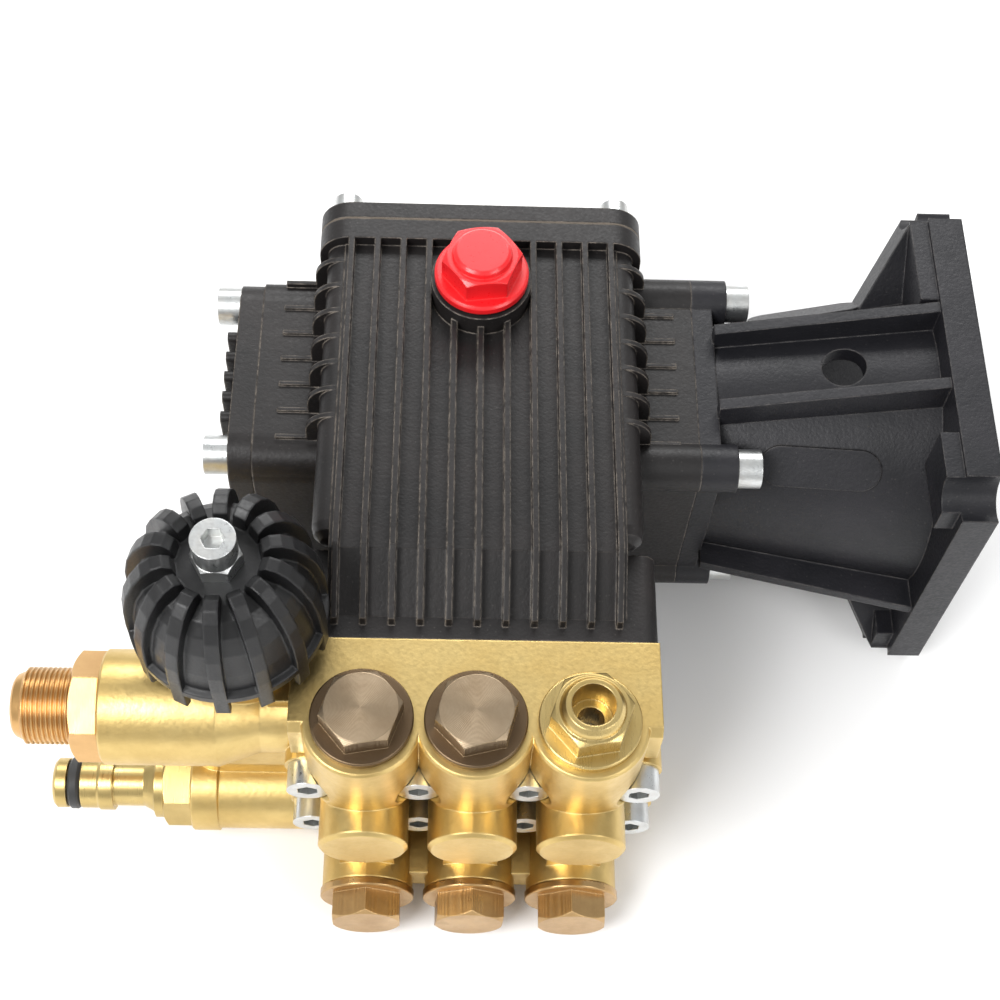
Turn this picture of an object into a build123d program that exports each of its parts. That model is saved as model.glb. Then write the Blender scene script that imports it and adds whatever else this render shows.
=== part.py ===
"""Triplex plunger pump of a petrol pressure washer, with its engine adapter and unloader.

Millimetres. +X runs along the crankshaft towards the engine, +Y to the rear cover, +Z up.
The origin is on the crankshaft's axis, in the face that bolts to the engine.
"""
import os
from math import atan2, cos, radians, sin, sqrt

from build123d import *

os.makedirs("parts", exist_ok=True)

# ---- driving dimensions ----
pitch = 34.0  # between neighbouring cylinders
throw = 3.0  # eccentricity of the crankshaft, half of the stroke
plunger_d = 18.0
mid_x = -164.0  # middle cylinder
cylinder_x = (mid_x - pitch, mid_x, mid_x + pitch)
crank_phase = (180.0, 60.0, 300.0)  # angle of each eccentric about +X, from +Y

deck_z = 43.0  # top face of the manifold
valve_y = -128.0  # axis of the upright delivery chambers
joint_y = -101.5  # manifold against crankcase
suction_z = -45.0  # axis of the lying suction chambers
suction_face_y = -153.5  # mouth of the suction chambers
plunger_face_y = -154.0  # blind end of the plunger chambers
base_z = -61.5  # level that the pump stands on

left_seam_x = -238.0
right_seam_x = -91.0
housing_half = 38.5  # bearing housings are square about the crankshaft
cover_bolt = 30.0  # bearing cover screws, half of their square
adapter_bolt = 33.4  # adapter screws, half of their square

flange_half = 61.5
flange_t = 11.5
bolt_circle_d = 165.1
bolt_half = bolt_circle_d / 2 / sqrt(2)
notch_r = 8.0

box_half = 46.0  # half width of the finned box
box_top = 53.5
fin_top = 57.6
fin_count = 11
fin_gap = 8.74
rear_y = 48.0  # rear flange of the crankcase
rear_width = 110.0
gasket_t = 0.6
cover_t = 6.4

shaft_bore_r = 12.7
quill_r = 17.5
shaft_x = -18.0  # engine end of the hollow shaft
shaft_depth = 90.0

knob_x, knob_y = -238.2, -99.0
knob_r = 29.8
knob_ribs = 14
outlet_y, outlet_z = -114.5, 17.0
outlet_face_x = -279.0
inlet_y, inlet_z = -117.5, -44.0
inlet_face_x = -258.0

seat_r = 11.0  # valve seats and cages
cap_r = 12.0  # threads of the valve caps
cap_hex = 22.0
ring_r = 15.5
pin_r = 3.5  # wrist pins
wrist_y = -55.0  # wrist pins at mid stroke
gap = 0.05  # running and assembly clearance


# ---- helpers ----
def save(sub_part, name):
    """Label a finished sub-part and write it as parts/name.step."""
    sub_part.part.label = name
    export_step(sub_part.part, f"parts/{name}.step")


def block(x, y, z, mode=Mode.ADD):
    """Add a box given its low and high limits along each axis."""
    with Locations(((x[0] + x[1]) / 2, (y[0] + y[1]) / 2, (z[0] + z[1]) / 2)):
        Box(x[1] - x[0], y[1] - y[0], z[1] - z[0], mode=mode)


def bar_x(radius, x, y, z, mode=Mode.ADD):
    """Add a round bar along X between two stations."""
    with Locations(((x[0] + x[1]) / 2, y, z)):
        Cylinder(radius, abs(x[1] - x[0]), rotation=(0, 90, 0), mode=mode)


def bar_y(radius, y, x, z, mode=Mode.ADD):
    """Add a round bar along Y between two stations."""
    with Locations((x, (y[0] + y[1]) / 2, z)):
        Cylinder(radius, abs(y[1] - y[0]), rotation=(90, 0, 0), mode=mode)


def bar_z(radius, z, x, y, mode=Mode.ADD):
    """Add a round bar along Z between two levels."""
    with Locations((x, y, (z[0] + z[1]) / 2)):
        Cylinder(radius, abs(z[1] - z[0]), mode=mode)


def line_x(y, z):
    """Plane through a line parallel to X: its first axis is +X, its second points outwards."""
    return Plane(origin=(0, y, z), x_dir=(1, 0, 0), z_dir=(0, -1, 0))


def line_y(x, z):
    """Plane through a line parallel to Y: its first axis is +Y."""
    return Plane(origin=(x, 0, z), x_dir=(0, 1, 0), z_dir=(1, 0, 0))


def line_z(x, y):
    """Plane through a line parallel to Z: its first axis is +Z."""
    return Plane(origin=(x, y, 0), x_dir=(0, 0, 1), z_dir=(0, 1, 0))


def turn(plane, *profile, mode=Mode.ADD):
    """Revolve (station, radius) points about the plane's first axis."""
    with BuildSketch(plane, mode=Mode.PRIVATE) as section:
        with BuildLine():
            Polyline(*profile, close=True)
        make_face()
    revolve(section.sketch.faces(), axis=Axis(plane.origin, plane.x_dir), mode=mode)


def tube(plane, span, outer, inner, mode=Mode.ADD):
    """Revolve a plain ring from its two stations and two radii."""
    turn(plane, (span[0], inner), (span[1], inner), (span[1], outer), (span[0], outer), mode=mode)


def hexagon(plane, across_flats, height, turned=0, mode=Mode.ADD):
    """Extrude a hexagon along the plane's normal."""
    with BuildSketch(plane, mode=Mode.PRIVATE) as outline:
        RegularPolygon(across_flats / 2, 6, major_radius=False, rotation=turned)
    extrude(outline.sketch.faces(), amount=height, mode=mode)


def chamfered_hex(plane, across_flats, height, turned=0):
    """Add a hexagon along the plane's normal, its outer corners turned down to the flats."""
    hexagon(plane, across_flats, height, turned)
    outer_end = Plane(origin=plane.origin + plane.z_dir * height, x_dir=plane.z_dir, z_dir=plane.x_dir)
    turn(
        outer_end, (-1.6, 0.61 * across_flats), (0.2, 0.61 * across_flats), (0.2, 0.485 * across_flats),
        mode=Mode.SUBTRACT,
    )


def ridges(start, end, crest, root):
    """List the (station, radius) points of a fine thread drawn as closed ridges."""
    count = round(abs(end - start) / 1.5)
    step = (end - start) / count
    points = []
    for ridge in range(count):
        for share, radius in ((0.05, root), (0.4, crest), (0.6, crest), (0.95, root)):
            points.append((start + step * (ridge + share), radius))
    return points


def rounded(plane, width, height, corner, depth, mode=Mode.ADD):
    """Extrude a rectangle with round corners, centred on the plane's origin."""
    with BuildSketch(plane, mode=Mode.PRIVATE) as outline:
        RectangleRounded(width, height, corner)
    extrude(outline.sketch.faces(), amount=depth, mode=mode)


def prism(plane, depth, *points, mode=Mode.ADD):
    """Extrude a straight-sided outline along the plane's normal, half to each side."""
    with BuildSketch(plane, mode=Mode.PRIVATE) as outline:
        with BuildLine():
            Polyline(*points, close=True)
        make_face()
    extrude(outline.sketch.faces(), amount=depth / 2, both=True, mode=mode)


def socket_screw(plane, shank_r, length, head_r, head_h, key):
    """Add a socket head screw: the plane's normal points out of the head, its origin is the seat."""
    with BuildSketch(plane, mode=Mode.PRIVATE) as shank:
        Circle(shank_r)
    extrude(shank.sketch.faces(), amount=-length)
    with BuildSketch(plane, mode=Mode.PRIVATE) as head:
        Circle(head_r)
    extrude(head.sketch.faces(), amount=head_h)
    hexagon(plane.offset(head_h - 0.55 * head_h), key, head_h, mode=Mode.SUBTRACT)


def facing(origin, normal, across=(0, 0, 1)):
    """Plane at a point with a given normal."""
    return Plane(origin=origin, x_dir=across, z_dir=normal)


def m8_screw(origin, normal, length, across=(0, 0, 1)):
    """Add an M8 socket head screw seated at a point."""
    socket_screw(facing(origin, normal, across), 4 - gap, length, 6.5, 8.0, 6.0)


def spring(plane, station, length, coil_r, wire_r, turns):
    """Add a compression spring that starts at a station on the plane's first axis."""
    start = plane.origin + plane.x_dir * station
    with BuildLine(mode=Mode.PRIVATE) as centre:
        Helix(pitch=length / turns, height=length, radius=coil_r, center=start, direction=plane.x_dir)
    path = centre.wires()[0]
    with BuildSketch(Plane(origin=path @ 0, z_dir=path % 0), mode=Mode.PRIVATE) as wire:
        Circle(wire_r)
    sweep(wire.sketch.faces(), path=path, is_frenet=True)


housing_square = [(y, z) for y in (-1, 1) for z in (-1, 1)]
fin_x = [mid_x + fin_gap * (i - (fin_count - 1) / 2) for i in range(fin_count)]
rear_screws = [(side * 46.0, z) for side in (-1, 1) for z in (50.0, 2.0, -44.5)]
manifold_screws = [(mid_x + step * pitch / 2, z) for step in (-3, -1, 1, 3) for z in (15.0, -15.0)]
screw_seat_y = -132.5

# Oil bath, crosshead guides and bearing seats inside the crankcase.
chamber_x = (mid_x - 41.5, mid_x + 41.5)
guide_r = 14.0
seal_y = (-101.5, -95.0)
left_bearing = (-237.0, -222.0)
right_bearing = (-111.0, -94.0)
left_race_r, right_race_r = 26.0, 36.0
filler_y, filler_z = 21.0, 61.6


# ---- crankcase ----
def arch_rib(side, y):
    """Thin quarter-round gusset from the top of the box down to the bearing housing."""
    wall, reach = box_half - 2.0, 56.3
    foot, crown = housing_half - 4.0, 53.0
    with BuildSketch(Plane.XZ.offset(-y), mode=Mode.PRIVATE) as outline:
        with BuildLine():
            Line((mid_x + side * wall, foot), (mid_x + side * wall, crown))
            Line((mid_x + side * wall, crown), (mid_x + side * (reach - 9.5), crown))
            RadiusArc((mid_x + side * (reach - 9.5), crown), (mid_x + side * reach, crown - 9.5), side * 9.5)
            Line((mid_x + side * reach, crown - 9.5), (mid_x + side * reach, foot))
            Line((mid_x + side * reach, foot), (mid_x + side * wall, foot))
        make_face()
    extrude(outline.sketch.faces(), amount=0.9, both=True)
    lengths = sorted((mid_x + side * 54.0, mid_x + side * 66.5))
    block(lengths, (y - 0.7, y + 0.7), (housing_half - 2, housing_half + 0.9))


with BuildPart() as crankcase:
    # finned box with a sloping front, and the wider front that carries the manifold
    prism(
        Plane.YZ.offset(mid_x), 2 * box_half,
        (joint_y + 2, base_z + 8), (joint_y + 2, deck_z - 2), (-95.0, deck_z - 0.5),
        (-76.0, box_top), (rear_y - 4, box_top), (rear_y - 4, base_z + 8),
    )
    with BuildSketch(Plane(origin=(mid_x, joint_y, (deck_z - 55.0) / 2), x_dir=(1, 0, 0), z_dir=(0, -1, 0))):
        RectangleRounded(112.0, deck_z + 55.0, 5.0)
    extrude(amount=-30.0)
    # bearing housings across the box, with a boss for each screw
    with BuildSketch(Plane.YZ.offset(left_seam_x)):
        RectangleRounded(2 * housing_half, 2 * housing_half, 12.0)
    extrude(amount=right_seam_x - left_seam_x)
    for side_y, side_z in housing_square:
        bar_x(8.0, (left_seam_x, left_seam_x + 22), side_y * cover_bolt, side_z * cover_bolt)
        bar_x(8.0, (right_seam_x - 22, right_seam_x), side_y * adapter_bolt, side_z * adapter_bolt)
    # rear flange with round corners
    with BuildSketch(Plane(origin=(mid_x, rear_y - 8, (fin_top - 53.0) / 2), x_dir=(1, 0, 0), z_dir=(0, -1, 0))):
        RectangleRounded(rear_width, fin_top + 53.0, 11.0)
    extrude(amount=-8.0)
    # long bosses for the rear screws, along both upper edges and low on the sides
    for side in (-1, 1):
        for level in (47.0, -44.5):
            boss_axis = line_y(mid_x + side * 46.0, level)
            turn(boss_axis, (-72.0, 0), (-71.0, 3.2), (-69.0, 5.2), (-66.0, 6.0), (rear_y - 4, 6.0), (rear_y - 4, 0))
        for rib in range(7):
            arch_rib(side, 34.0 - 10.3 * rib)
    # feet
    for side in (-1, 1):
        block(
            sorted((mid_x + side * 28.0, mid_x + side * 54.0)),
            (joint_y + 10, rear_y - 10), (base_z, base_z + 12),
        )
    # cooling fins, following the slope in front
    for x in fin_x:
        prism(
            Plane.YZ.offset(x), 2.0,
            (rear_y - 6, box_top - 2), (rear_y - 6, fin_top), (-76.5, fin_top),
            (-96.5, deck_z + 3.4), (-97.5, deck_z - 3), (-76.0, box_top - 6),
        )
    bar_z(16.6, (box_top - 3, filler_z), mid_x, filler_y)
    # oil bath
    block(chamber_x, (-42.0, rear_y - 8), (-50.0, 47.0), mode=Mode.SUBTRACT)
    block((mid_x - 38.5, mid_x + 38.5), (rear_y - 9, rear_y), (-46.0, 43.0), mode=Mode.SUBTRACT)
    bar_z(9.1, (40.0, filler_z + 1), mid_x, filler_y, mode=Mode.SUBTRACT)
    bar_x(left_race_r, (left_seam_x, left_bearing[1]), 0, 0, mode=Mode.SUBTRACT)
    bar_x(left_race_r - 4, (left_seam_x, chamber_x[0]), 0, 0, mode=Mode.SUBTRACT)
    bar_x(right_race_r, (right_bearing[0], right_seam_x), 0, 0, mode=Mode.SUBTRACT)
    bar_x(right_race_r - 4, (chamber_x[1], right_seam_x), 0, 0, mode=Mode.SUBTRACT)
    for x in cylinder_x:
        bar_y(guide_r + gap, (-84.5, -41.0), x, 0, mode=Mode.SUBTRACT)
        bar_y(plunger_d / 2 + 1.0, (joint_y, -84.0), x, 0, mode=Mode.SUBTRACT)
        bar_y(14.0, seal_y, x, 0, mode=Mode.SUBTRACT)
    # threads
    for x, z in manifold_screws:
        bar_y(4.0, (joint_y, joint_y + 24), x, z, mode=Mode.SUBTRACT)
    for side_y, side_z in housing_square:
        bar_x(4.0, (left_seam_x, left_seam_x + 20), side_y * cover_bolt, side_z * cover_bolt, mode=Mode.SUBTRACT)
        bar_x(4.0, (right_seam_x - 20, right_seam_x), side_y * adapter_bolt, side_z * adapter_bolt, mode=Mode.SUBTRACT)
    for dx, z in rear_screws:
        bar_y(3.0, (rear_y - 7.5, rear_y), mid_x + dx, z, mode=Mode.SUBTRACT)
    for side in (-1, 1):
        for y in (-75.0, 25.0):
            bar_z(4.0, (base_z, base_z + 10), mid_x + side * 41.0, y, mode=Mode.SUBTRACT)

save(crankcase, "crankcase")


# ---- rear cover ----
cover_mid_z = (fin_top - 53.0) / 2
cover_height = fin_top + 53.0
cover_y = rear_y + gasket_t


def rear_plane(y):
    """Plane across the rear flange, its normal pointing backwards."""
    return facing((mid_x, y, cover_mid_z), (0, 1, 0), (1, 0, 0))


with BuildPart() as rear_cover_gasket:
    rounded(rear_plane(rear_y), rear_width, cover_height, 11.0, gasket_t)
    block((mid_x - 38.5, mid_x + 38.5), (rear_y - 1, cover_y + 1), (-46.0, 43.0), mode=Mode.SUBTRACT)
    for dx, z in rear_screws:
        bar_y(3.3, (rear_y - 1, cover_y + 1), mid_x + dx, z, mode=Mode.SUBTRACT)

save(rear_cover_gasket, "rear_cover_gasket")

with BuildPart() as rear_cover:
    rounded(rear_plane(cover_y), rear_width, cover_height, 11.0, cover_t)
    for step in range(-4, 5):
        block(
            (mid_x + 8.5 * step - 1.2, mid_x + 8.5 * step + 1.2),
            (cover_y + cover_t - 1, cover_y + cover_t + 2.2), (-46.0, 51.0),
        )
    block((mid_x - 36.0, mid_x + 36.0), (cover_y, cover_y + 3.0), (-43.0, 40.0), mode=Mode.SUBTRACT)
    for dx, z in rear_screws:
        bar_y(3.3, (cover_y - 1, cover_y + cover_t + 1), mid_x + dx, z, mode=Mode.SUBTRACT)

save(rear_cover, "rear_cover")

with BuildPart() as rear_cover_screws:
    for dx, z in rear_screws:
        seat = facing((mid_x + dx, cover_y + cover_t, z), (0, 1, 0))
        socket_screw(seat, 3 - gap, 13.9, 5.0, 6.0, 5.0)

save(rear_cover_screws, "rear_cover_screws")


# ---- bearing cover at the closed end of the crankshaft ----
with BuildPart() as bearing_cover:
    rounded(facing((left_seam_x, 0, 0), (-1, 0, 0)), 2 * housing_half, 2 * housing_half, 12.0, 8.0)
    for y in (-16.0, -8.0, 0.0, 8.0, 16.0):
        rounded(facing((left_seam_x - 7, y, 0), (-1, 0, 0)), 66.0, 4.0, 1.9, 5.0)
    tube(line_x(0, 0), (left_seam_x - 1, left_seam_x + 0.95), left_race_r - gap, 21.6)
    for side_y, side_z in housing_square:
        bar_x(4.3, (left_seam_x - 9, left_seam_x + 1), side_y * cover_bolt, side_z * cover_bolt, mode=Mode.SUBTRACT)

save(bearing_cover, "bearing_cover")

with BuildPart() as bearing_cover_screws:
    for side_y, side_z in housing_square:
        m8_screw((left_seam_x - 8, side_y * cover_bolt, side_z * cover_bolt), (-1, 0, 0), 24.0)

save(bearing_cover_screws, "bearing_cover_screws")


# ---- engine adapter ----
ear_x = -78.8
bell_r = (38.0, 51.0)
bell_slope = atan2(bell_r[1] - bell_r[0], 72.5)
rib_top = (44.0, 60.0)


def bell_rib(plane, side):
    """Straight tapering rib along the bell, in a plane whose first axis is +X."""
    prism(
        plane, 4.0,
        (-84.5, side * 30.0), (-84.5, side * rib_top[0]), (-12.0, side * rib_top[1]),
        (-6.0, side * rib_top[1]), (-6.0, side * 40.0),
    )


with BuildPart() as engine_adapter:
    # foot against the crankcase, with an ear for each screw
    rounded(facing((right_seam_x, 0, 0), (1, 0, 0)), 2 * housing_half, 2 * housing_half, 12.0, 7.0)
    for side_y, side_z in housing_square:
        bar_x(8.0, (right_seam_x, ear_x), side_y * adapter_bolt, side_z * adapter_bolt)
    tube(line_x(0, 0), (right_seam_x - 3, right_seam_x + 1), right_race_r - 0.1, 29.0)
    # bell and engine flange
    turn(line_x(0, 0), (-84.5, 0), (-84.5, bell_r[0]), (-12.0, bell_r[1]), (-5.0, bell_r[1]), (-5.0, 0))
    rounded(facing((-flange_t, 0, 0), (1, 0, 0)), 2 * flange_half, 2 * flange_half, 3.0, flange_t)
    for side in (-1, 1):
        for y in (-15.0, 15.0):
            bell_rib(Plane.XZ.offset(-y), side)
        bell_rib(Plane.XY.offset(-16.0), side)
    for side_y, side_z in housing_square:
        # thick pad beside the stud notch, steep web behind it and long low pad on each diagonal
        inner_y = 34.0 if (side_y, side_z) == (-1, 1) else 18.0
        block(
            (-flange_t - 6, -flange_t + 1),
            sorted((side_y * inner_y, side_y * 58.0)), sorted((side_z * 40.0, side_z * 60.0)),
        )
        if (side_y, side_z) != (-1, 1):
            diagonal = Plane(origin=(0, 0, 0), x_dir=(1, 0, 0), z_dir=(0, -side_z, side_y))
            prism(diagonal, 12.0, (-34.0, 42.0), (-32.0, 48.5), (-17.0, 78.0), (-8.0, 78.0), (-8.0, 42.0))
        pad_middle = (-50.0, side_y * 44.19 / sqrt(2), side_z * 44.19 / sqrt(2))
        outwards = (-sin(bell_slope), side_y * cos(bell_slope) / sqrt(2), side_z * cos(bell_slope) / sqrt(2))
        along = (cos(bell_slope), side_y * sin(bell_slope) / sqrt(2), side_z * sin(bell_slope) / sqrt(2))
        with BuildSketch(Plane(origin=pad_middle, x_dir=along, z_dir=outwards), mode=Mode.PRIVATE) as long_pad:
            SlotOverall(40.0, 14.0)
        extrude(long_pad.sketch.faces(), amount=0.8)
        extrude(long_pad.sketch.faces(), amount=-3.0)
    # seal seat, bell cavity and mouth
    turn(
        line_x(0, 0), (-92.0, 0), (-92.0, 26.0), (-83.0, 26.0), (-83.0, 19.0), (-81.0, 19.0),
        (-81.0, 31.0), (-flange_t, 46.0), (-flange_t, 48.0), (1.0, 48.0), (1.0, 0), mode=Mode.SUBTRACT,
    )
    for side_y, side_z in housing_square:
        bar_x(4.3, (-92.0, ear_x + 1), side_y * adapter_bolt, side_z * adapter_bolt, mode=Mode.SUBTRACT)
        bar_x(notch_r, (-30.0, 1.0), side_y * bolt_half, side_z * bolt_half, mode=Mode.SUBTRACT)
    bar_z(7.3, (20.0, 75.0), -42.0, 0, mode=Mode.SUBTRACT)

save(engine_adapter, "engine_adapter")

with BuildPart() as adapter_screws:
    for side_y, side_z in housing_square:
        m8_screw((ear_x, side_y * adapter_bolt, side_z * adapter_bolt), (1, 0, 0), 28.0)

save(adapter_screws, "adapter_screws")

with BuildPart() as shaft_seal:
    turn(
        line_x(0, 0), (-90.9, 25.97), (-83.05, 25.97), (-83.05, 20.5), (-86.5, quill_r + gap),
        (-87.5, quill_r + gap), (-88.5, 22.0), (-90.9, 22.0),
    )

save(shaft_seal, "shaft_seal")


# ---- oil filler ----
filler_axis = line_z(mid_x, filler_y)

with BuildPart() as oil_cap_seal:
    tube(filler_axis, (filler_z, filler_z + 1.2), 14.2, 9.3)

save(oil_cap_seal, "oil_cap_seal")

with BuildPart() as oil_fill_cap:
    turn(
        filler_axis, (48.0, 0), (48.0, 7.6), (49.4, 9.0), (filler_z + 1.2, 9.0), (filler_z + 1.2, 15.5),
        (filler_z + 3.4, 15.5), (filler_z + 4.2, 14.7), (filler_z + 4.2, 0),
    )
    chamfered_hex(facing((mid_x, filler_y, filler_z + 4.0), (0, 0, 1), (1, 0, 0)), 23.0, 8.4, 8.0)
    turn(
        filler_axis, (filler_z + 12.0, 0), (filler_z + 12.0, 9.9), (filler_z + 14.0, 9.4),
        (filler_z + 14.9, 8.4), (filler_z + 14.9, 0),
    )

save(oil_fill_cap, "oil_fill_cap")


# ---- manifold ----
gallery_y, gallery_z = -108.5, 29.0
inlet_gallery_y = -114.0
port_y = -137.0  # from each suction chamber up to its plunger chamber
ring_top_z = 12.0  # seat of the unloader's base ring
piston_seat_z = -14.0
link_x, link_y = -221.5, -113.5
tower_r = 18.2
plate_y = -131.5  # front of the plate that joins the towers

with BuildPart() as manifold:
    prism(
        Plane.YZ.offset(mid_x), 112.0, (joint_y, -55.0), (joint_y, deck_z), (plate_y + 2.5, deck_z),
        (plate_y, deck_z - 2.5), (plate_y, 24.0), (-115.0, 18.0), (-115.0, -55.0),
    )
    block((mid_x - 56.0, mid_x + 56.0), (-128.0, joint_y), (-58.0, -32.0))
    for x in cylinder_x:
        # delivery tower, plunger cylinder, suction cylinder and the neck between the last two
        turn(
            line_z(x, valve_y), (-4.0, 0), (-4.0, 12.0), (4.0, 16.2), (9.0, tower_r),
            (deck_z - 0.8, tower_r), (deck_z, tower_r - 0.8), (deck_z, 0),
        )
        turn(
            line_y(x, 0), (plunger_face_y, 0), (plunger_face_y, 12.8), (plunger_face_y + 1.2, 14.0),
            (joint_y, 14.0), (joint_y, 0),
        )
        turn(
            line_y(x, suction_z), (suction_face_y, 0), (suction_face_y, 14.4), (suction_face_y + 0.6, 15.0),
            (joint_y, 15.0), (joint_y, 0),
        )
        block((x - 9.0, x + 9.0), (-148.0, joint_y), (-38.0, -5.0))
    for step in (-1, 1):
        web_x = mid_x + step * pitch / 2
        block((web_x - 3.0, web_x + 3.0), (-149.0, -127.0), (-51.0, -39.0))
    for x, z in manifold_screws:
        bar_y(7.5, (screw_seat_y, joint_y), x, z)
    # outlet body, unloader boss and inlet body beside the cylinders
    turn(
        line_x(outlet_y, outlet_z), (outlet_face_x, 0), (outlet_face_x, 17.2), (outlet_face_x + 0.8, 18.0),
        (-243.0, 18.0), (-230.0, 13.5), (-221.0, 13.5), (-221.0, 0),
    )
    rounded(facing((-244.0, -110.0, -8.0), (0, 0, 1), (1, 0, 0)), 42.0, 27.0, 5.0, 20.0)
    block((-232.0, mid_x - 55.0), (-123.5, joint_y), (-8.0, ring_top_z))
    rounded(facing((-239.0, -103.0, -45.0), (0, 0, 1), (1, 0, 0)), 36.0, 30.0, 8.0, 50.0)
    block((-230.0, mid_x - 55.0), (-118.0, joint_y), (-45.0, 0.0))
    bar_z(16.5, (-40.0, ring_top_z), knob_x, knob_y)
    block((-227.5, mid_x - 55.0), (-119.0, joint_y), (0.0, 34.0))
    # cup round the unloader's sleeve, cut back where it passes the crankcase
    turn(
        line_z(knob_x, knob_y), (-14.0, 0), (-14.0, 9.0), (2.0, 17.5), (8.0, 20.2), (37.2, 20.2),
        (38.0, 19.4), (38.0, 0),
    )
    block((-220.4, -210.0), (joint_y, -75.0), (-60.0, 50.0), mode=Mode.SUBTRACT)
    turn(
        line_x(inlet_y, inlet_z), (inlet_face_x, 0), (inlet_face_x, 14.7), (inlet_face_x + 0.6, 15.3),
        (-249.0, 15.3), (-248.4, 14.5), (-215.0, 14.5), (-215.0, 0),
    )
    # spot face for the unloader's base ring and room for the screw heads
    bar_z(17.0, (ring_top_z, 50.0), knob_x, knob_y, mode=Mode.SUBTRACT)
    for x, z in manifold_screws:
        bar_y(6.9, (-165.0, screw_seat_y), x, z, mode=Mode.SUBTRACT)
        bar_y(4.3, (screw_seat_y - 1, joint_y + 1), x, z, mode=Mode.SUBTRACT)
    for x in cylinder_x:
        bar_y(13.0, (-113.5, joint_y), x, 0, mode=Mode.SUBTRACT)
        bar_y(10.0, (-148.0, -113.0), x, 0, mode=Mode.SUBTRACT)
        bar_z(6.5, (0.0, 19.0), x, valve_y, mode=Mode.SUBTRACT)
        bar_z(seat_r, (18.5, 33.5), x, valve_y, mode=Mode.SUBTRACT)
        bar_z(cap_r, (33.1, deck_z), x, valve_y, mode=Mode.SUBTRACT)
        bar_y(4.0, (valve_y, gallery_y), x, gallery_z, mode=Mode.SUBTRACT)
        bar_y(5.5, (-127.0, inlet_gallery_y), x, suction_z, mode=Mode.SUBTRACT)
        bar_y(seat_r, (-142.8, -126.0), x, suction_z, mode=Mode.SUBTRACT)
        bar_y(cap_r, (suction_face_y, -142.5), x, suction_z, mode=Mode.SUBTRACT)
        bar_z(4.5, (suction_z, 0.0), x, port_y, mode=Mode.SUBTRACT)
    # galleries, unloader bore, bypass, outlet and inlet
    bar_x(4.0, (-220.5, mid_x + 40), gallery_y, gallery_z, mode=Mode.SUBTRACT)
    bar_x(7.0, (-222.0, mid_x + 40), inlet_gallery_y, suction_z, mode=Mode.SUBTRACT)
    bar_z(2.8, (0.0, gallery_z), link_x, link_y, mode=Mode.SUBTRACT)
    bar_x(3.6, (-262.0, -220.5), link_y - 0.5, 0, mode=Mode.SUBTRACT)
    bar_y(3.5, (link_y, knob_y), knob_x, 0, mode=Mode.SUBTRACT)
    bar_z(3.5, (0.0, outlet_z), -260.5, -113.0, mode=Mode.SUBTRACT)
    bar_x(6.0, (-269.0, -256.2), outlet_y, outlet_z, mode=Mode.SUBTRACT)
    bar_x(10.0, (outlet_face_x, -268.0), outlet_y, outlet_z, mode=Mode.SUBTRACT)
    bar_z(11.0, (5.0, ring_top_z), knob_x, knob_y, mode=Mode.SUBTRACT)
    bar_z(7.0, (piston_seat_z, 6.0), knob_x, knob_y, mode=Mode.SUBTRACT)
    bar_z(4.5, (-36.0, piston_seat_z), knob_x, knob_y, mode=Mode.SUBTRACT)
    bar_y(4.0, (inlet_y, knob_y), knob_x, -36.0, mode=Mode.SUBTRACT)
    bar_x(9.0, (inlet_face_x, -246.0), inlet_y, inlet_z, mode=Mode.SUBTRACT)
    bar_x(8.0, (-247.0, -216.0), inlet_y, inlet_z, mode=Mode.SUBTRACT)

save(manifold, "manifold")

with BuildPart() as manifold_screws_set:
    for x, z in manifold_screws:
        m8_screw((x, screw_seat_y, z), (0, -1, 0), 50.0)

save(manifold_screws_set, "manifold_screws")


# ---- valve caps ----
def cap_plug(plane, inner_end, face, out):
    """Thread, O-ring groove and flange of a valve cap; out is the sign of the outward direction."""
    turn(
        plane, (inner_end, 0), (inner_end, 11.0), (inner_end + 0.9 * out, 11.95), (inner_end + 3 * out, 11.95),
        (inner_end + 3 * out, 9.6), (inner_end + 6 * out, 9.6), (inner_end + 6 * out, 11.95),
        (face, 11.95), (face, ring_r), (face + 2.1 * out, ring_r), (face + 2.5 * out, ring_r - 0.4),
        (face + 2.5 * out, 0),
    )


upright_end, lying_end = 33.2, -142.6
upright_hex_z, lying_hex_y = deck_z + 2.5, suction_face_y - 2.0

with BuildPart() as discharge_caps:
    for x, turned in zip(cylinder_x[:2], (10.0, 14.0)):
        cap_plug(line_z(x, valve_y), upright_end, deck_z, 1)
        chamfered_hex(facing((x, valve_y, upright_hex_z - 0.5), (0, 0, 1), (1, 0, 0)), cap_hex, 7.5, turned)

save(discharge_caps, "discharge_caps")

with BuildPart() as gauge_port_cap:
    gauge_x = cylinder_x[2]
    cap_plug(line_z(gauge_x, valve_y), upright_end, deck_z, 1)
    chamfered_hex(facing((gauge_x, valve_y, upright_hex_z - 0.5), (0, 0, 1), (1, 0, 0)), cap_hex, 9.0, 10.0)
    turn(line_z(gauge_x, valve_y), (53.0, 0), (53.0, 10.4), (55.6, 9.3), (57.2, 8.2), (57.2, 0))
    bar_z(6.58, (upright_hex_z, 58.0), gauge_x, valve_y, mode=Mode.SUBTRACT)
    bar_z(4.0, (upright_end - 1, upright_hex_z + 1), gauge_x, valve_y, mode=Mode.SUBTRACT)

save(gauge_port_cap, "gauge_port_cap")

with BuildPart() as suction_caps:
    for x, turned in zip(cylinder_x, (30.0, 26.0, 33.0)):
        cap_plug(line_y(x, suction_z), lying_end, suction_face_y, -1)
        hex_foot = facing((x, lying_hex_y, suction_z), (0, -1, 0), (1, 0, 0))
        chamfered_hex(hex_foot, cap_hex, 9.0, turned)

save(suction_caps, "suction_caps")

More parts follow.
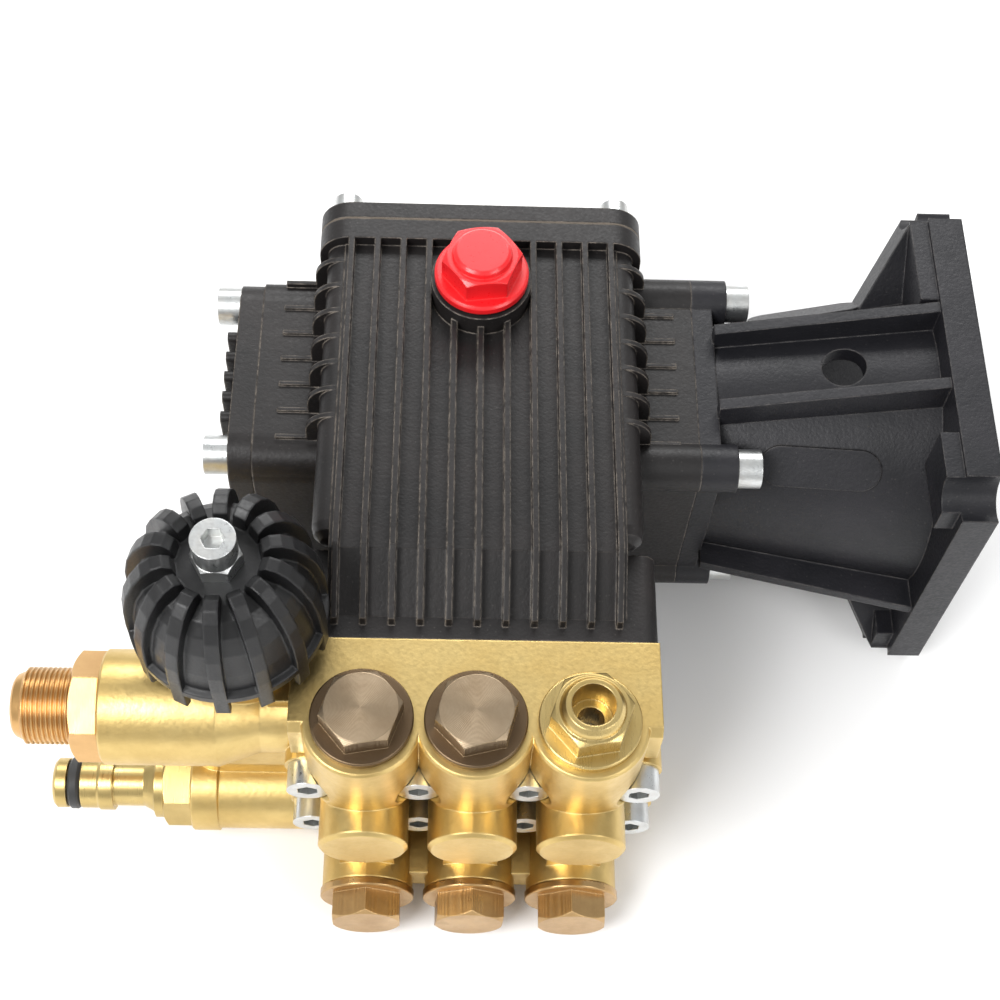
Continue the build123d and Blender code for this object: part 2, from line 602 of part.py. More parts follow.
with BuildPart() as cap_o_rings:
    for x in cylinder_x:
        tube(line_z(x, valve_y), (upright_end + 3.2, upright_end + 5.8), 11.9, 9.65)
        tube(line_y(x, suction_z), (lying_end - 5.8, lying_end - 3.2), 11.9, 9.65)

save(cap_o_rings, "cap_o_rings")


# ---- valves ----
lift = 2.0

with BuildPart() as valve_seats:
    for x in cylinder_x:
        tube(line_z(x, valve_y), (18.55, 23.5), seat_r - gap, 6.0)
        tube(line_y(x, suction_z), (-131.0, -126.05), seat_r - gap, 5.5)

save(valve_seats, "valve_seats")

with BuildPart() as valve_cages:
    for x in cylinder_x:
        tube(line_z(x, valve_y), (23.55, 33.05), seat_r - gap, 8.6)
        tube(line_z(x, valve_y), (31.3, 33.05), 9.0, 2.5)
        bar_x(2.6, (x - 12, x + 12), valve_y, 27.8, mode=Mode.SUBTRACT)
        bar_y(2.6, (valve_y - 12, valve_y + 12), x, 27.8, mode=Mode.SUBTRACT)
        tube(line_y(x, suction_z), (-142.45, -131.05), seat_r - gap, 8.6)
        tube(line_y(x, suction_z), (-142.45, -140.7), 9.0, 2.5)
        bar_x(3.5, (x - 12, x + 12), port_y, suction_z, mode=Mode.SUBTRACT)
        bar_z(3.5, (suction_z - 12, suction_z + 12), x, port_y, mode=Mode.SUBTRACT)

save(valve_cages, "valve_cages")


def poppet(plane, seat, out):
    """Valve disc with a spring boss, lying on its seat."""
    turn(
        plane, (seat, 0), (seat, 7.0), (seat + 0.7 * out, 7.75), (seat + 2.0 * out, 7.75),
        (seat + 2.0 * out, 3.2), (seat + 3.0 * out, 3.0), (seat + 3.0 * out, 0),
    )


for number, x in enumerate(cylinder_x, 1):
    with BuildPart() as discharge_poppet:
        poppet(line_z(x, valve_y), 23.52, 1)
    save(discharge_poppet, f"discharge_poppet_{number}")
    with BuildPart() as suction_poppet:
        poppet(line_y(x, suction_z), -131.02, -1)
    save(suction_poppet, f"suction_poppet_{number}")

with BuildPart() as discharge_springs:
    for x in cylinder_x:
        spring(line_z(x, valve_y), 26.15, 4.5, 5.0, 0.5, 3)

save(discharge_springs, "discharge_springs")

with BuildPart() as suction_springs:
    for x in cylinder_x:
        outwards = Plane(origin=(x, 0, suction_z), x_dir=(0, -1, 0), z_dir=(1, 0, 0))
        spring(outwards, 133.65, 6.4, 5.0, 0.5, 4)

save(suction_springs, "suction_springs")


# ---- seals around the plungers ----
with BuildPart() as plunger_oil_seals:
    for x in cylinder_x:
        tube(line_y(x, 0), (-101.4, -95.1), 13.95, plunger_d / 2 + gap)

save(plunger_oil_seals, "plunger_oil_seals")

with BuildPart() as packing_retainers:
    for x in cylinder_x:
        tube(line_y(x, 0), (-107.0, -101.55), 12.95, 9.4)

save(packing_retainers, "packing_retainers")

with BuildPart() as plunger_packings:
    for x in cylinder_x:
        turn(
            line_y(x, 0), (-107.05, plunger_d / 2 + gap), (-107.05, 12.95), (-113.45, 12.95),
            (-111.9, 11.0), (-113.45, plunger_d / 2 + gap),
        )

save(plunger_packings, "plunger_packings")


# ---- crankshaft and its bearings ----
bearings = ((left_bearing, 12.5, left_race_r, 19.25, 3.9), (right_bearing, quill_r, right_race_r, 26.75, 5.5))
ball_count = 9

with BuildPart() as crankshaft:
    turn(
        line_x(0, 0), (shaft_x, 0), (shaft_x, quill_r - 0.8), (shaft_x - 0.8, quill_r), (-111.0, quill_r),
        (-111.0, 20.0), (-115.0, 20.0), (-115.0, 13.6), (left_bearing[1], 13.6), (left_bearing[1], 12.5),
        (-235.9, 12.5), (-236.5, 11.9), (-236.5, 0),
    )
    for x, phase in zip(cylinder_x, crank_phase):
        bar_x(17.0, (x - 7, x + 7), throw * cos(radians(phase)), throw * sin(radians(phase)))
    bar_x(shaft_bore_r, (shaft_x - shaft_depth, shaft_x), 0, 0, mode=Mode.SUBTRACT)
    block((shaft_x - shaft_depth, shaft_x), (-3.175, 3.175), (0, 15.9), mode=Mode.SUBTRACT)

save(crankshaft, "crankshaft")


def race(span, outer, inner, pitch_r, ball_r):
    """Bearing race with a ball groove."""
    tube(line_x(0, 0), span, outer, inner)
    with Locations(Location(((span[0] + span[1]) / 2, 0, 0), (0, 90, 0))):
        Torus(pitch_r, ball_r + gap, mode=Mode.SUBTRACT)


def ball_centres(span, pitch_r):
    """Centres of one bearing's balls."""
    angles = [radians(360 * i / ball_count) for i in range(ball_count)]
    return [((span[0] + span[1]) / 2, pitch_r * cos(a), pitch_r * sin(a)) for a in angles]


with BuildPart() as bearing_outer_races:
    for span, inner_r, outer_r, pitch_r, ball_r in bearings:
        race(span, outer_r - 0.03, pitch_r + 0.6 * ball_r, pitch_r, ball_r)

save(bearing_outer_races, "bearing_outer_races")

with BuildPart() as bearing_inner_races:
    for span, inner_r, outer_r, pitch_r, ball_r in bearings:
        race(span, pitch_r - 0.6 * ball_r, inner_r + 0.03, pitch_r, ball_r)

save(bearing_inner_races, "bearing_inner_races")

with BuildPart() as bearing_balls:
    for span, inner_r, outer_r, pitch_r, ball_r in bearings:
        with Locations(*ball_centres(span, pitch_r)):
            Sphere(ball_r)

save(bearing_balls, "bearing_balls")

with BuildPart() as bearing_cages:
    for span, inner_r, outer_r, pitch_r, ball_r in bearings:
        middle = (span[0] + span[1]) / 2
        tube(line_x(0, 0), (middle - ball_r - 1.2, middle + ball_r + 1.2), pitch_r + 1.3, pitch_r - 1.3)
        with Locations(*ball_centres(span, pitch_r)):
            Sphere(ball_r + gap, mode=Mode.SUBTRACT)

save(bearing_cages, "bearing_cages")


# ---- connecting rods, crossheads, wrist pins and plungers ----
rod_play_y, rod_play_z = 2 * throw + 0.3, throw + 0.3  # the small end is open by this much around its pin
eye_wall = 2.5

for number, (x, phase) in enumerate(zip(cylinder_x, crank_phase), 1):
    pin_y, pin_z = throw * cos(radians(phase)), throw * sin(radians(phase))
    wrist = wrist_y + pin_y
    eye_length, eye_height = 2 * (rod_play_y + pin_r), 2 * (rod_play_z + pin_r)
    with BuildPart() as connecting_rod:
        bar_x(21.5, (x - 6, x + 6), pin_y, pin_z)
        block((x - 5, x + 5), (wrist + 9, pin_y - 18), (pin_z - 6, pin_z + 6))
        eye = facing((x - 5, wrist, pin_z), (1, 0, 0), (0, 1, 0))
        rounded(eye, eye_length + 2 * eye_wall, eye_height + 2 * eye_wall, 6.0, 10.0)
        rounded(eye, eye_length, eye_height, pin_r, 10.0, mode=Mode.SUBTRACT)
        bar_x(17.0 + gap, (x - 6, x + 6), pin_y, pin_z, mode=Mode.SUBTRACT)
    save(connecting_rod, f"connecting_rod_{number}")
    with BuildPart() as crosshead:
        turn(
            line_y(x, 0), (wrist - 24, 0), (wrist - 24, 13.2), (wrist - 23.2, guide_r),
            (wrist + 7.2, guide_r), (wrist + 8, 13.2), (wrist + 8, 0),
        )
        block((x - 5.3, x + 5.3), (wrist - 18.6, wrist + 8.1), (-14.1, 14.1), mode=Mode.SUBTRACT)
        bar_x(pin_r + 0.02, (x - 15, x + 15), wrist, 0, mode=Mode.SUBTRACT)
        bar_y(4.02, (wrist - 24.1, wrist - 18), x, 0, mode=Mode.SUBTRACT)
    save(crosshead, f"crosshead_{number}")
    with BuildPart() as wrist_pin:
        bar_x(pin_r, (x - 13.2, x + 13.2), wrist, 0)
    save(wrist_pin, f"wrist_pin_{number}")
    with BuildPart() as plunger:
        turn(
            line_y(x, 0), (wrist - 18.7, 0), (wrist - 18.7, 3.98), (wrist - 24.02, 3.98),
            (wrist - 24.02, plunger_d / 2), (wrist - 63.4, plunger_d / 2), (wrist - 64, 8.4), (wrist - 64, 0),
        )
    save(plunger, f"plunger_{number}")


# ---- outlet and inlet fittings ----
with BuildPart() as outlet_fitting:
    outlet_axis = line_x(outlet_y, outlet_z)
    turn(
        outlet_axis, (-268.1, 0), (-268.1, 9.9), (outlet_face_x, 9.9), (outlet_face_x, 11.0),
        (outlet_face_x - 9, 11.0), *ridges(-288.4, -303.4, 12.0, 11.1), (-303.5, 10.9), (-306.0, 9.8),
        (-306.8, 8.8), (-306.8, 0),
    )
    chamfered_hex(facing((outlet_face_x, outlet_y, outlet_z), (-1, 0, 0)), 30.0, 9.0, 8.0)
    bar_x(6.0, (-308.0, -268.0), outlet_y, outlet_z, mode=Mode.SUBTRACT)

save(outlet_fitting, "outlet_fitting")

nipple_axis = line_x(inlet_y, inlet_z)

with BuildPart() as inlet_fitting:
    turn(
        nipple_axis, (-246.1, 0), (-246.1, 8.9), (inlet_face_x, 8.9), (inlet_face_x, 11.4), (-270.7, 11.2),
        (-271.0, 9.6), (-274.8, 7.5), (-285.0, 7.5), (-285.0, 9.0), (-289.6, 9.0), (-290.4, 8.4),
        (-296.0, 8.4), (-296.0, 5.7), (-300.7, 5.7), (-300.7, 8.4), (-304.2, 8.4), (-305.2, 7.4), (-305.2, 0),
    )
    chamfered_hex(facing((inlet_face_x, inlet_y, inlet_z), (-1, 0, 0)), 24.0, 9.6, 12.0)
    bar_x(4.2, (-306.0, -246.0), inlet_y, inlet_z, mode=Mode.SUBTRACT)

save(inlet_fitting, "inlet_fitting")

with BuildPart() as inlet_o_ring:
    turn(
        nipple_axis, (-296.4, 6.7), (-297.3, 5.75), (-299.4, 5.75), (-300.3, 6.7),
        (-300.3, 7.8), (-299.4, 8.75), (-297.3, 8.75), (-296.4, 7.8),
    )

save(inlet_o_ring, "inlet_o_ring")


# ---- unloader ----
unloader_axis = line_z(knob_x, knob_y)

with BuildPart() as unloader_seat:
    tube(unloader_axis, (piston_seat_z + gap, -9.0), 6.95, 3.5)

save(unloader_seat, "unloader_seat")

with BuildPart() as unloader_sleeve:
    turn(
        unloader_axis, (5.05, 7.0), (17.0, 7.0), (17.0, 9.0), (69.0, 9.0), (69.0, 12.4), (68.4, 13.0),
        (17.0, 13.0), (17.0, 16.0), (16.5, 16.5), (ring_top_z, 16.5), (ring_top_z, 10.95), (5.05, 10.95),
    )

save(unloader_sleeve, "unloader_sleeve")

with BuildPart() as unloader_piston:
    turn(
        unloader_axis, (-8.98, 0), (-8.98, 3.8), (6.0, 3.8), (6.0, 6.95), (14.0, 6.95), (14.0, 4.0),
        (22.0, 4.0), (22.0, 8.6), (24.0, 8.6), (24.0, 0),
    )

save(unloader_piston, "unloader_piston")

with BuildPart() as unloader_spring:
    spring(unloader_axis, 25.2, 32.6, 6.5, 1.1, 7)

save(unloader_spring, "unloader_spring")

with BuildPart() as spring_follower:
    turn(unloader_axis, (59.0, 0), (59.0, 8.6), (63.2, 8.6), (64.0, 7.8), (64.0, 0))

save(spring_follower, "spring_follower")

with BuildPart() as unloader_knob:
    turn(
        unloader_axis, (87.0, 4.05), (87.0, 14.0), (85.5, 18.5), (82.0, 22.0), (76.0, 24.8), (67.0, 26.8),
        (59.0, 27.7), (58.4, knob_r), (55.6, knob_r), (55.6, 26.0), (59.0, 25.0), (67.0, 24.1), (74.5, 22.1),
        (79.0, 18.8), (79.0, 16.6), (52.0, 16.6), (52.0, 13.08), (79.0, 13.08), (79.0, 4.05),
    )
    for rib in range(knob_ribs):
        angle = radians(360 * rib / knob_ribs - 90)
        prism(
            Plane(
                origin=(knob_x, knob_y, 0), x_dir=(cos(angle), sin(angle), 0), z_dir=(sin(angle), -cos(angle), 0),
            ), 4.2,
            (27.4, 46.6), (knob_r - 0.6, 46.6), (knob_r, 48.0), (knob_r, 63.0), (29.3, 71.0), (27.7, 78.5),
            (25.0, 85.0), (21.6, 90.2), (18.4, 92.8), (15.2, 93.4), (12.8, 91.8), (11.8, 86.5), (18.0, 83.0),
            (21.7, 79.0), (24.5, 73.0), (26.1, 65.0), (27.0, 56.0),
        )

save(unloader_knob, "unloader_knob")

with BuildPart() as knob_screw:
    socket_screw(facing((knob_x, knob_y, 93.0), (0, 0, 1), (1, 0, 0)), 4 - gap, 28.95, 6.5, 8.0, 6.0)

save(knob_screw, "knob_screw")

with BuildPart() as knob_nut:
    chamfered_hex(facing((knob_x, knob_y, 87.02), (0, 0, 1), (1, 0, 0)), 13.0, 5.9)
    bar_z(4.0, (87.0, 93.0), knob_x, knob_y, mode=Mode.SUBTRACT)

save(knob_nut, "knob_nut")
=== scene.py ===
"""Looks of the pressure washer pump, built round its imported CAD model. Metres, in the row's frame."""

from math import cos, pi, radians, sin

import bpy
from mathutils import Matrix, Vector

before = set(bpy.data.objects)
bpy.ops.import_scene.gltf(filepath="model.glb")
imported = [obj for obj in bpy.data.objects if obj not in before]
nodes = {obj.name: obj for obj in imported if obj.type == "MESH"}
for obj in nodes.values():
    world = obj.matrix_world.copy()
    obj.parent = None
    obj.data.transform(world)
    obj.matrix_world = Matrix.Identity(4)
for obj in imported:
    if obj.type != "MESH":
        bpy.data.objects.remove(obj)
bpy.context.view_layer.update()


# ---- node helpers ----
bevel_samples = 6
edge_turn_low, edge_turn_high = 0.02, 0.35  # how far a normal turns at the start and the end of an edge


class Shader:
    """A material under construction, with short ways to add and link nodes."""

    def __init__(self, name):
        self.material = bpy.data.materials.new(name)
        self.material.use_nodes = True
        self.tree = self.material.node_tree
        self.tree.nodes.clear()
        output = self.add("ShaderNodeOutputMaterial")
        self.surface = self.add("ShaderNodeBsdfPrincipled")
        self.link(self.surface.outputs["BSDF"], output.inputs["Surface"])
        self.place = self.add("ShaderNodeTexCoord").outputs["Object"]

    def add(self, kind, **settings):
        node = self.tree.nodes.new(kind)
        for key, value in settings.items():
            setattr(node, key, value)
        return node

    def link(self, source, target):
        self.tree.links.new(source, target)

    def feed(self, socket, value):
        """Link an output, or set a constant."""
        if isinstance(value, bpy.types.NodeSocket):
            self.link(value, socket)
        else:
            socket.default_value = value

    def noise(self, scale, detail=4.0, roughness=0.55, place=None):
        node = self.add("ShaderNodeTexNoise")
        self.link(place or self.place, node.inputs["Vector"])
        node.inputs["Scale"].default_value = scale
        node.inputs["Detail"].default_value = detail
        node.inputs["Roughness"].default_value = roughness
        return node.outputs["Fac"]

    def cells(self, scale):
        node = self.add("ShaderNodeTexVoronoi")
        self.link(self.place, node.inputs["Vector"])
        node.inputs["Scale"].default_value = scale
        return node.outputs["Distance"]

    def math(self, operation, first, second=0.0, clamp=False):
        node = self.add("ShaderNodeMath", operation=operation, use_clamp=clamp)
        self.feed(node.inputs[0], first)
        self.feed(node.inputs[1], second)
        return node.outputs[0]

    def span(self, value, low, high, to_low=0.0, to_high=1.0):
        node = self.add("ShaderNodeMapRange", clamp=True)
        self.feed(node.inputs["Value"], value)
        node.inputs["From Min"].default_value = low
        node.inputs["From Max"].default_value = high
        node.inputs["To Min"].default_value = to_low
        node.inputs["To Max"].default_value = to_high
        return node.outputs["Result"]

    def mix(self, share, first, second):
        node = self.add("ShaderNodeMix", data_type="RGBA")
        self.feed(node.inputs[0], share)
        self.feed(node.inputs[6], first)
        self.feed(node.inputs[7], second)
        return node.outputs[2]

    def axes(self):
        node = self.add("ShaderNodeSeparateXYZ")
        self.link(self.place, node.inputs[0])
        return node.outputs

    def squeezed(self, x, y, z):
        """Object coordinates stretched along each axis, for grain with a direction."""
        node = self.add("ShaderNodeVectorMath", operation="MULTIPLY")
        self.link(self.place, node.inputs[0])
        node.inputs[1].default_value = (x, y, z)
        return node.outputs[0]

    def edges(self, radius):
        """0 on flats, 1 on sharp edges, and the rounded normal that goes with it."""
        bevel = self.add("ShaderNodeBevel", samples=bevel_samples)
        bevel.inputs["Radius"].default_value = radius
        true_normal = self.add("ShaderNodeNewGeometry").outputs["Normal"]
        dot = self.add("ShaderNodeVectorMath", operation="DOT_PRODUCT")
        self.link(bevel.outputs[0], dot.inputs[0])
        self.link(true_normal, dot.inputs[1])
        turned = self.math("SUBTRACT", 1.0, dot.outputs["Value"])
        return self.span(turned, edge_turn_low, edge_turn_high), bevel.outputs[0]

    def bump(self, height, depth, normal=None):
        node = self.add("ShaderNodeBump")
        node.inputs["Distance"].default_value = depth
        self.link(height, node.inputs["Height"])
        if normal is not None:
            self.link(normal, node.inputs["Normal"])
        return node.outputs["Normal"]

    def finish(self, colour, roughness, metallic, normal, **constants):
        self.feed(self.surface.inputs["Base Color"], colour)
        self.feed(self.surface.inputs["Roughness"], roughness)
        self.surface.inputs["Metallic"].default_value = metallic
        self.link(normal, self.surface.inputs["Normal"])
        for name, value in constants.items():
            self.surface.inputs[name.replace("_", " ")].default_value = value
        return self.material


def rgb(red, green, blue):
    return (red, green, blue, 1.0)


# ---- materials ----
cylinder_pitch = 0.034
cylinder_x = -0.164  # middle cylinder
delivery_y = -0.128  # upright valve chambers
suction_z = -0.045  # lying valve chambers
cap_ring_top = 0.0457  # just above the flanges of the upright caps
unloader_xy = (-0.2382, -0.099)
lone_pitch = 0.4  # wide enough for a single axis
lathe_ring_pitch = 0.00038
lathe_ring_depth = 0.000012
lathe_grain = (5.0, 0.3, 0.3)


def cast_paint(name, base, edge_wear_and_highlight, grain_depth=0.00008):
    """Satin paint over a sand casting: orange peel, sand grain, dust, and paint scuffed off at the edges,
    with painted highlights along the edges.
    """
    s = Shader(name)
    edge, smooth = s.edges(0.0009)
    patches = s.span(s.noise(38.0, 5.0), 0.38, 0.66)
    grain = s.noise(950.0, 3.0)
    chips = s.span(s.noise(260.0, 6.0, 0.7), 0.42, 0.58)
    body = s.mix(patches, base, rgb(base[0] * 1.75, base[1] * 1.65, base[2] * 1.6))
    speck = s.span(s.cells(420.0), 0.0, 0.16, 1.0, 0.0)
    body = s.mix(s.math("MULTIPLY", speck, 0.18), body, rgb(0.16, 0.15, 0.14))
    # paler colour along the edges, broken up by chips: paint scuffed off, and a painted highlight on every
    # edge
    wear_and_highlight_mask = s.math("MULTIPLY", edge, s.math("ADD", s.math("MULTIPLY", chips, 0.75), 0.15), clamp=True)
    colour = s.mix(wear_and_highlight_mask, body, edge_wear_and_highlight)
    roughness = s.math("ADD", s.span(grain, 0.3, 0.7, 0.38, 0.52), s.math("MULTIPLY", wear_and_highlight_mask, 0.1))
    lumps = s.math("ADD", s.math("MULTIPLY", s.noise(160.0, 3.0), 1.4), grain)
    normal = s.bump(lumps, grain_depth, smooth)
    return s.finish(colour, roughness, 0.0, normal, Specular_IOR_Level=0.35)


def brass(name, base, deep, rough, depth, stretch=(1.0, 1.0, 1.0)):
    """Forged or turned brass with soft tarnish, tool grain and painted highlights on the edges."""
    s = Shader(name)
    edge, smooth = s.edges(0.0007)
    patches = s.span(s.noise(55.0, 5.0, 0.6), 0.35, 0.7)
    tint = s.span(s.noise(14.0, 3.0), 0.35, 0.65)
    colour = s.mix(s.math("MULTIPLY", patches, 0.7), base, deep)
    colour = s.mix(s.math("MULTIPLY", tint, 0.25), colour, rgb(base[0] * 0.92, base[1] * 0.86, base[2] * 0.7))
    # painted highlight: a paler brass on every edge
    colour = s.mix(s.math("MULTIPLY", edge, 0.4), colour, rgb(0.86, 0.73, 0.43))
    specks = s.span(s.cells(300.0), 0.0, 0.09, 1.0, 0.0)
    colour = s.mix(s.math("MULTIPLY", specks, 0.25), colour, rgb(0.24, 0.16, 0.07))
    grain = s.noise(1.0, 4.0, 0.6, s.squeezed(*(700.0 * k for k in stretch)))
    polish = s.span(grain, 0.25, 0.75, rough - 0.05, rough + 0.08)
    roughness = s.math("ADD", polish, s.math("MULTIPLY", patches, 0.07))
    lumps = s.math("ADD", grain, s.math("MULTIPLY", s.noise(90.0, 3.0), 2.2))
    normal = s.bump(lumps, depth, smooth)
    return s.finish(colour, roughness, 1.0, normal)


def turned_metal(name, base, deep, rough, centre, upright, pitch=cylinder_pitch, ring_top=None):
    """Metal with lathe rings round each of a row of axes along X, darker below a level if one is given."""
    s = Shader(name)
    edge, smooth = s.edges(0.0005)
    x, y, z = s.axes()
    # the modulo needs a positive input, and the half pitch puts each axis in the middle of its cell
    shifted = s.math("ADD", s.math("SUBTRACT", x, centre[0]), 20.5 * pitch)
    along = s.math("SUBTRACT", s.math("MODULO", shifted, pitch), 0.5 * pitch)
    across = s.math("SUBTRACT", y if upright else z, centre[1])
    reach = s.math("SQRT", s.math("ADD", s.math("POWER", along, 2.0), s.math("POWER", across, 2.0)))
    rings = s.math("SINE", s.math("MULTIPLY", reach, 2 * pi / lathe_ring_pitch))
    patches = s.span(s.noise(70.0, 5.0, 0.65), 0.36, 0.68)
    smear = s.span(s.noise(220.0, 4.0), 0.4, 0.7)
    colour = s.mix(s.math("MULTIPLY", patches, 0.6), base, deep)
    colour = s.mix(s.math("MULTIPLY", smear, 0.2), colour, rgb(base[0] * 0.5, base[1] * 0.42, base[2] * 0.35))
    if ring_top is not None:
        low = s.span(z, ring_top - 0.0001, ring_top + 0.0001, 0.8, 0.0)
        colour = s.mix(low, colour, rgb(0.10, 0.062, 0.033))
    # painted highlight: a paler bronze on every edge
    colour = s.mix(s.math("MULTIPLY", edge, 0.5), colour, rgb(0.80, 0.60, 0.34))
    polish = s.span(rings, -1.0, 1.0, rough - 0.04, rough + 0.06)
    roughness = s.math("ADD", polish, s.math("MULTIPLY", patches, 0.08))
    height = s.math("ADD", rings, s.math("MULTIPLY", s.noise(500.0), 1.2))
    return s.finish(colour, roughness, 1.0, s.bump(height, lathe_ring_depth, smooth))


def steel(name, base, rough, depth=0.00002, dirt=0.35):
    """Plated or ground steel with fine grain, dull patches and painted highlights on the edges."""
    s = Shader(name)
    edge, smooth = s.edges(0.0004)
    patches = s.span(s.noise(160.0, 5.0, 0.65), 0.4, 0.7)
    colour = s.mix(s.math("MULTIPLY", patches, dirt), base, rgb(0.35, 0.31, 0.26))
    # painted highlight: near-white on every edge
    colour = s.mix(s.math("MULTIPLY", edge, 0.6), colour, rgb(0.9, 0.9, 0.9))
    grain = s.noise(1400.0, 3.0)
    polish = s.span(grain, 0.3, 0.7, rough - 0.05, rough + 0.07)
    roughness = s.math("ADD", polish, s.math("MULTIPLY", patches, 0.1))
    return s.finish(colour, roughness, 1.0, s.bump(grain, depth, smooth))


def moulding(name, base, rough, depth, edge_highlight_colour, edge_radius=0.0008, coat=0.0, sheen=0.0):
    """Plastic or rubber: fine moulded grain, handling marks and painted highlights on the edges."""
    s = Shader(name)
    edge, smooth = s.edges(edge_radius)
    patches = s.span(s.noise(60.0, 5.0), 0.35, 0.7)
    marks = s.span(s.noise(1.0, 4.0, 0.6, s.squeezed(420.0, 420.0, 60.0)), 0.45, 0.7)
    paler = rgb(*(min(1.0, 1.6 * value + 0.004) for value in base[:3]))
    colour = s.mix(s.math("MULTIPLY", patches, 0.5), base, paler)
    # painted highlight: the given paler colour on every edge
    colour = s.mix(s.math("MULTIPLY", edge, 0.45), colour, edge_highlight_colour)
    fine = s.noise(1300.0, 2.0)
    polish = s.span(fine, 0.3, 0.7, rough - 0.05, rough + 0.06)
    roughness = s.math("ADD", polish, s.math("MULTIPLY", marks, 0.08))
    normal = s.bump(fine, depth, smooth)
    return s.finish(colour, roughness, 0.0, normal, Coat_Weight=coat, Coat_Roughness=0.12, Sheen_Weight=sheen)


black_cast = cast_paint("black_casting", rgb(0.0095, 0.0085, 0.0085), rgb(0.34, 0.29, 0.24))
adapter_cast = cast_paint("adapter_casting", rgb(0.0090, 0.0092, 0.0115), rgb(0.12, 0.11, 0.105), 0.0001)
gasket_paper = moulding("gasket_fibre", rgb(0.10, 0.08, 0.06), 0.8, 0.00005, rgb(0.2, 0.17, 0.13))
forged_brass = brass("forged_brass", rgb(0.72, 0.54, 0.225), rgb(0.48, 0.33, 0.115), 0.34, 0.00006)
turned_brass = brass("turned_brass", rgb(0.64, 0.49, 0.21), rgb(0.42, 0.30, 0.11), 0.27, 0.00003, lathe_grain)
thread_brass = brass("thread_brass", rgb(0.70, 0.44, 0.19), rgb(0.48, 0.27, 0.10), 0.27, 0.00002, lathe_grain)
cap_bronze = turned_metal(
    "cap_bronze", rgb(0.36, 0.28, 0.19), rgb(0.23, 0.165, 0.10), 0.36, (cylinder_x, delivery_y), True,
    ring_top=cap_ring_top,
)
plug_bronze = turned_metal(
    "plug_bronze", rgb(0.56, 0.37, 0.17), rgb(0.36, 0.22, 0.095), 0.30, (cylinder_x, suction_z), False,
)
sleeve_bronze = turned_metal(
    "sleeve_bronze", rgb(0.60, 0.43, 0.18), rgb(0.40, 0.26, 0.10), 0.32, unloader_xy, True, pitch=lone_pitch,
)
zinc = steel("zinc_plate", rgb(0.66, 0.68, 0.68), 0.30)
ground_steel = steel("ground_steel", rgb(0.60, 0.60, 0.61), 0.24, dirt=0.2)
shaft_steel = steel("shaft_steel", rgb(0.40, 0.40, 0.41), 0.36)
stainless = steel("stainless_steel", rgb(0.68, 0.67, 0.65), 0.22, dirt=0.15)
cast_aluminium = steel("cast_aluminium", rgb(0.62, 0.63, 0.64), 0.42, 0.00006)
black_rubber = moulding(
    "black_rubber", rgb(0.016, 0.016, 0.016), 0.55, 0.00003, rgb(0.06, 0.06, 0.06), 0.0004, sheen=0.2,
)
knob_plastic = moulding(
    "knob_plastic", rgb(0.0045, 0.0045, 0.005), 0.38, 0.00003, rgb(0.03, 0.03, 0.032), 0.0011,
)
red_plastic = moulding(
    "red_plastic", rgb(0.70, 0.008, 0.012), 0.30, 0.000015, rgb(0.80, 0.05, 0.04), coat=0.2,
)
ceramic = moulding("white_ceramic", rgb(0.80, 0.79, 0.76), 0.18, 0.000005, rgb(0.9, 0.9, 0.88), coat=0.3)

finishes = {
    black_cast: ["crankcase", "rear_cover", "bearing_cover"],
    adapter_cast: ["engine_adapter"],
    gasket_paper: ["rear_cover_gasket"],
    forged_brass: ["manifold"],
    turned_brass: ["gauge_port_cap", "inlet_fitting", "packing_retainers"],
    thread_brass: ["outlet_fitting"],
    cap_bronze: ["discharge_caps"],
    plug_bronze: ["suction_caps"],
    sleeve_bronze: ["unloader_sleeve"],
    zinc: [
        "rear_cover_screws", "bearing_cover_screws", "adapter_screws", "manifold_screws", "knob_screw",
        "knob_nut",
    ],
    ground_steel: [
        "bearing_outer_races", "bearing_inner_races", "bearing_balls", "bearing_cages", "wrist_pin_1",
        "wrist_pin_2", "wrist_pin_3",
    ],
    shaft_steel: ["crankshaft", "crosshead_1", "crosshead_2", "crosshead_3"],
    stainless: [
        "valve_seats", "valve_cages", "discharge_springs", "suction_springs", "unloader_seat",
        "unloader_piston", "unloader_spring", "spring_follower", "discharge_poppet_1", "discharge_poppet_2",
        "discharge_poppet_3", "suction_poppet_1", "suction_poppet_2", "suction_poppet_3",
    ],
    cast_aluminium: ["connecting_rod_1", "connecting_rod_2", "connecting_rod_3"],
    black_rubber: [
        "shaft_seal", "oil_cap_seal", "cap_o_rings", "inlet_o_ring", "plunger_oil_seals",
        "plunger_packings",
    ],
    knob_plastic: ["unloader_knob"],
    red_plastic: ["oil_fill_cap"],
    ceramic: ["plunger_1", "plunger_2", "plunger_3"],
}
for finish, names in finishes.items():
    for name in names:
        mesh = nodes[name].data
        mesh.materials.clear()
        mesh.materials.append(finish)

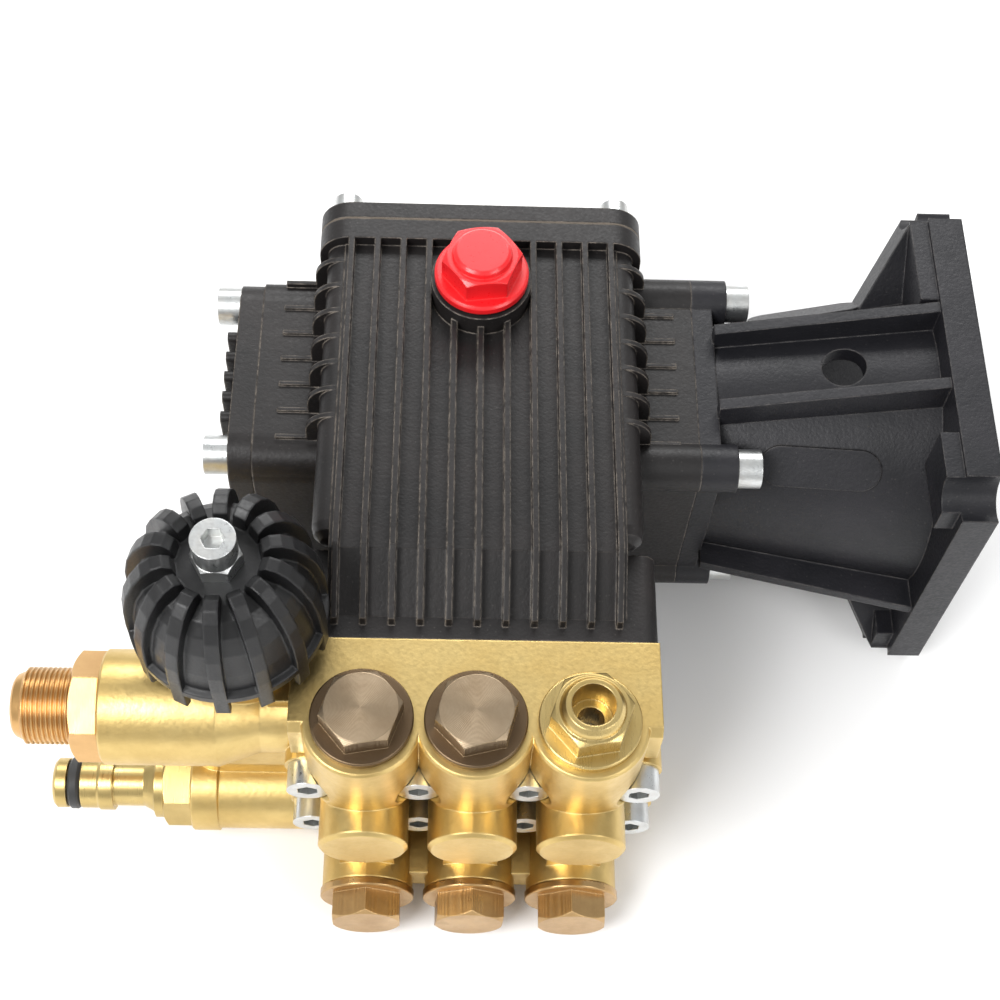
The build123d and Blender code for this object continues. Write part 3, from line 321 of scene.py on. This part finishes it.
# ---- floor, light and camera ----
floor_z = -0.0615  # the feet's undersides
floor_gap = 0.0002
floor_size = 14.0
bpy.ops.mesh.primitive_plane_add(size=floor_size, location=(0, 0, floor_z - floor_gap))
floor = bpy.context.object
floor.name = "floor"
floor_paint = Shader("floor_paint")
faint = floor_paint.span(floor_paint.noise(3.0), 0.3, 0.7)
floor_colour = floor_paint.mix(faint, rgb(0.93, 0.93, 0.93), rgb(0.96, 0.96, 0.96))
floor_bump = floor_paint.bump(floor_paint.noise(400.0), 0.00002)
floor.data.materials.append(floor_paint.finish(floor_colour, 0.7, 0.0, floor_bump))

world_strength = 0.62
bpy.context.scene.view_settings.view_transform = "Standard"
world = bpy.data.worlds.new("studio")
bpy.context.scene.world = world
world.use_nodes = True
background = world.node_tree.nodes["Background"]
background.inputs["Color"].default_value = rgb(1.0, 1.0, 1.0)
background.inputs["Strength"].default_value = world_strength


def softbox(name, place, target, width, height, power):
    """Rectangular area light aimed at a point."""
    data = bpy.data.lights.new(name, "AREA")
    data.shape = "RECTANGLE"
    data.size = width
    data.size_y = height
    data.energy = power
    lamp = bpy.data.objects.new(name, data)
    bpy.context.collection.objects.link(lamp)
    lamp.location = place
    lamp.rotation_euler = (Vector(target) - Vector(place)).to_track_quat("-Z", "Y").to_euler()


pump_middle = (-0.15, -0.03, 0.0)
softbox("key", (-0.9, -0.7, 1.2), pump_middle, 0.7, 0.7, 20.0)
softbox("fill", (0.8, -0.9, 0.9), pump_middle, 0.7, 0.5, 6.0)
softbox("back", (-0.1, 1.0, 0.9), pump_middle, 1.2, 0.4, 12.0)

# fitted to points on the pump in the photograph
camera_place = (-0.1740, -0.3216, 0.5205)
camera_lens, camera_sensor = 61.9, 36.0  # mm
yaw, pitch, roll = radians(3.60), radians(60.54), radians(4.26)
ahead = Vector((sin(yaw) * cos(pitch), cos(yaw) * cos(pitch), -sin(pitch)))
level = Vector((cos(yaw), -sin(yaw), 0.0))
up = level.cross(ahead)
right_turned = level * cos(roll) + up * sin(roll)
up_turned = up * cos(roll) - level * sin(roll)
camera_data = bpy.data.cameras.new("camera")
camera_data.sensor_width = camera_sensor
camera_data.lens = camera_lens
camera_data.clip_start = 0.01
camera = bpy.data.objects.new("camera", camera_data)
bpy.context.collection.objects.link(camera)
turned = Matrix((right_turned, up_turned, -ahead)).transposed().to_4x4()
camera.matrix_world = Matrix.Translation(camera_place) @ turned
bpy.context.scene.camera = camera
